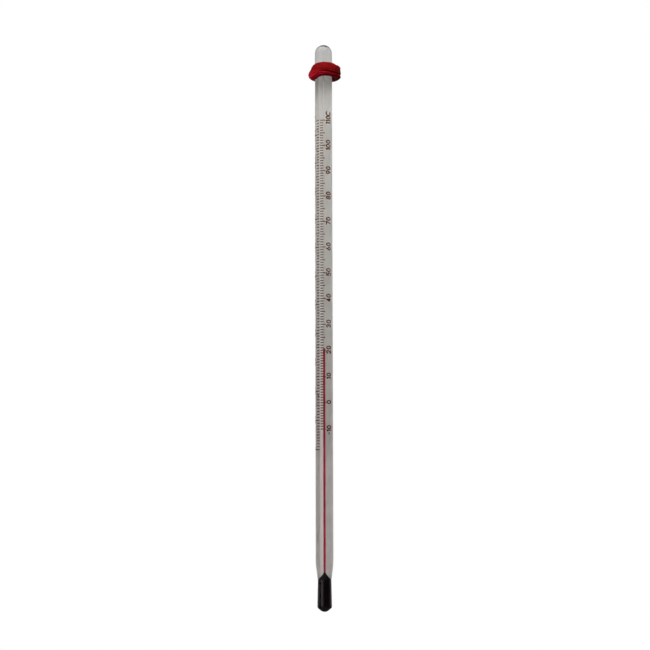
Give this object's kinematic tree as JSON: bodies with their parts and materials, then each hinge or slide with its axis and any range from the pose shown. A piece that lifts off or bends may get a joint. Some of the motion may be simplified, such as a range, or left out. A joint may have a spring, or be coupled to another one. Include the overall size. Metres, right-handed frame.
{
  "type": "darkroom thermometer",
  "caption": "Solid-stem glass thermometer with a red spirit column, Celsius and Fahrenheit scales, a dark bulb and a red rubber ring below its rounded top.",
  "frame": {"origin": "tip of the bulb, on the axis of the stem, which is also the middle of the base of the bounding box", "axes": "+Z along the stem from the bulb to the rounded top; -Y out of the front of the scale; +X towards the Celsius side"},
  "size_m": [0.0118, 0.0118, 0.2],
  "materials": {
    "clear_glass": "clear, fire-polished",
    "white_enamel": "opaque white, glossy",
    "red_spirit": "dyed liquid, nearly black in the bulb",
    "fired_ink": "fired dark brown ceramic ink, satin",
    "red_rubber": "soft, matt, finely ridged"
  },
  "bodies": {
    "thermometer": {"stem_tube": "clear_glass", "enamel_back": "white_enamel", "bulb_glass": "clear_glass", "bulb_spirit": "red_spirit", "spirit_thread": "red_spirit", "celsius_degree_lines": "fired_ink", "celsius_five_lines": "fired_ink", "celsius_ten_lines": "fired_ink", "celsius_numerals": "fired_ink", "celsius_unit_mark": "fired_ink", "fahrenheit_two_degree_lines": "fired_ink", "fahrenheit_ten_lines": "fired_ink", "fahrenheit_twenty_lines": "fired_ink", "fahrenheit_numerals": "fired_ink", "fahrenheit_unit_mark": "fired_ink", "ink_slip": "fired_ink"},
    "ring": {"anti_roll_ring": "red_rubber"},
    "spirit_top": {"spirit_meniscus": "red_spirit"}
  },
  "joints": [
    {"name": "ring_slide", "type": "slide", "parent": "thermometer", "child": "ring", "axis": [0, 0, 1], "range_m": [-0.166, 0.005]},
    {"name": "spirit_level", "type": "slide", "parent": "thermometer", "child": "spirit_top", "axis": [0, 0, 1], "range_m": [-0.0353, 0.081], "deforming": ["spirit_thread"]}
  ]
}
